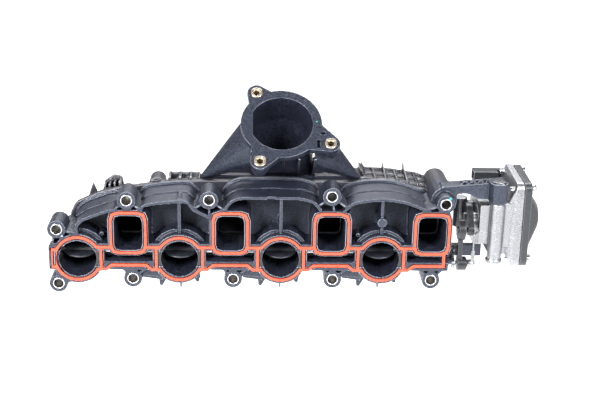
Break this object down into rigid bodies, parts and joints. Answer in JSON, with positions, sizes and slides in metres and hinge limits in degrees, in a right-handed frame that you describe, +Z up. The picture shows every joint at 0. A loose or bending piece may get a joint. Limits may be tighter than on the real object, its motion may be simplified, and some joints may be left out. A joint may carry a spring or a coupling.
{
  "type": "intake manifold",
  "caption": "Moulded plastic intake manifold with paired round and rectangular ports, swirl flaps on one shaft, a slanted inlet flange and an electric flap actuator.",
  "frame": {"origin": "on the sealing face of the port flange, on its lower land, half-way along the row of ports", "axes": "+X along the cylinder head toward the actuator, +Y away from the cylinder head, +Z up; the round port axes lie 8.8 mm above the origin"},
  "size_m": [0.4306, 0.1086, 0.1695],
  "materials": {
    "glass_filled_nylon": "satin black glass-filled nylon moulding with a fine grain",
    "dark_nylon": "black nylon, satin",
    "cover_plastic": "dark grey reinforced plastic, satin",
    "gear_plastic": "natural acetal",
    "seal_rubber": "orange-red fluorosilicone rubber, soft sheen",
    "black_rubber": "black rubber",
    "sleeve_steel": "bright zinc-plated steel tube",
    "zinc_steel": "zinc-plated steel",
    "insert_brass": "pale brass, fine turned",
    "cast_aluminium": "bright die-cast aluminium with a fine grain",
    "board": "green circuit board laminate"
  },
  "bodies": {
    "manifold": {"port_shell": "glass_filled_nylon", "port_gasket": "seal_rubber", "compression_sleeve_1": "sleeve_steel", "compression_sleeve_2": "sleeve_steel", "compression_sleeve_3": "sleeve_steel", "compression_sleeve_4": "sleeve_steel", "compression_sleeve_5": "sleeve_steel", "compression_sleeve_6": "sleeve_steel", "compression_sleeve_7": "sleeve_steel", "compression_sleeve_8": "sleeve_steel", "compression_sleeve_9": "sleeve_steel", "compression_sleeve_10": "sleeve_steel", "flap_bearing_1_left": "dark_nylon", "flap_bearing_1_right": "dark_nylon", "flap_bearing_2_left": "dark_nylon", "flap_bearing_2_right": "dark_nylon", "flap_bearing_3_left": "dark_nylon", "flap_bearing_3_right": "dark_nylon", "flap_bearing_4_left": "dark_nylon", "flap_bearing_4_right": "dark_nylon", "plenum_shell": "glass_filled_nylon", "inlet_neck": "glass_filled_nylon", "inlet_insert_1": "insert_brass", "inlet_insert_2": "insert_brass", "inlet_insert_3": "insert_brass", "shaft_end_seal": "black_rubber", "travel_stop_wire": "zinc_steel", "actuator_housing": "cast_aluminium", "actuator_cover": "cover_plastic", "cover_gasket": "black_rubber", "cover_screw_1": "zinc_steel", "cover_screw_2": "zinc_steel", "cover_screw_3": "zinc_steel", "cover_screw_4": "zinc_steel", "output_bearing": "zinc_steel", "idler_pin": "zinc_steel", "motor_can": "zinc_steel", "circuit_board": "board", "connector_terminals": "zinc_steel", "actuator_screw": "zinc_steel"},
    "flap_set": {"flap_shaft": "zinc_steel", "swirl_flap_1": "dark_nylon", "swirl_flap_2": "dark_nylon", "swirl_flap_3": "dark_nylon", "swirl_flap_4": "dark_nylon", "flap_lever": "zinc_steel", "flap_lever_nut": "zinc_steel", "flap_ball_stud": "zinc_steel"},
    "actuator_output": {"output_shaft": "zinc_steel", "output_gear": "gear_plastic", "actuator_lever": "dark_nylon", "lever_ball_stud": "zinc_steel"},
    "rod": {"link_rod": "dark_nylon"},
    "idler": {"idler_gear": "gear_plastic"},
    "motor_rotor": {"motor_pinion": "insert_brass"}
  },
  "joints": [
    {"name": "flap_hinge", "type": "hinge", "parent": "manifold", "child": "flap_set", "pos_m": [0, 0.024, 0.0088], "axis": [-1, 0, 0], "range_deg": [0, 75]},
    {"name": "actuator_hinge", "type": "hinge", "parent": "manifold", "child": "actuator_output", "pos_m": [0, 0.024, 0.0408], "axis": [-1, 0, 0], "range_deg": [0, 75]},
    {"name": "rod_pivot", "type": "hinge", "parent": "actuator_output", "child": "rod", "pos_m": [0, 0.00802, 0.03499], "axis": [-1, 0, 0], "range_deg": [-75, 0]},
    {"name": "idler_spin", "type": "hinge", "parent": "manifold", "child": "idler", "pos_m": [0, 0.03022, 0.0237], "axis": [-1, 0, 0], "range_deg": [-250.1, 0]},
    {"name": "motor_spin", "type": "hinge", "parent": "manifold", "child": "motor_rotor", "pos_m": [0, 0.04423, 0.0237], "axis": [-1, 0, 0], "range_deg": [0, 750]}
  ],
  "couplings": [
    {"joint": "actuator_hinge", "follows": "flap_hinge", "ratio": 1},
    {"joint": "rod_pivot", "follows": "flap_hinge", "ratio": -1},
    {"joint": "idler_spin", "follows": "flap_hinge", "ratio": -3.3333},
    {"joint": "motor_spin", "follows": "flap_hinge", "ratio": 10}
  ]
}
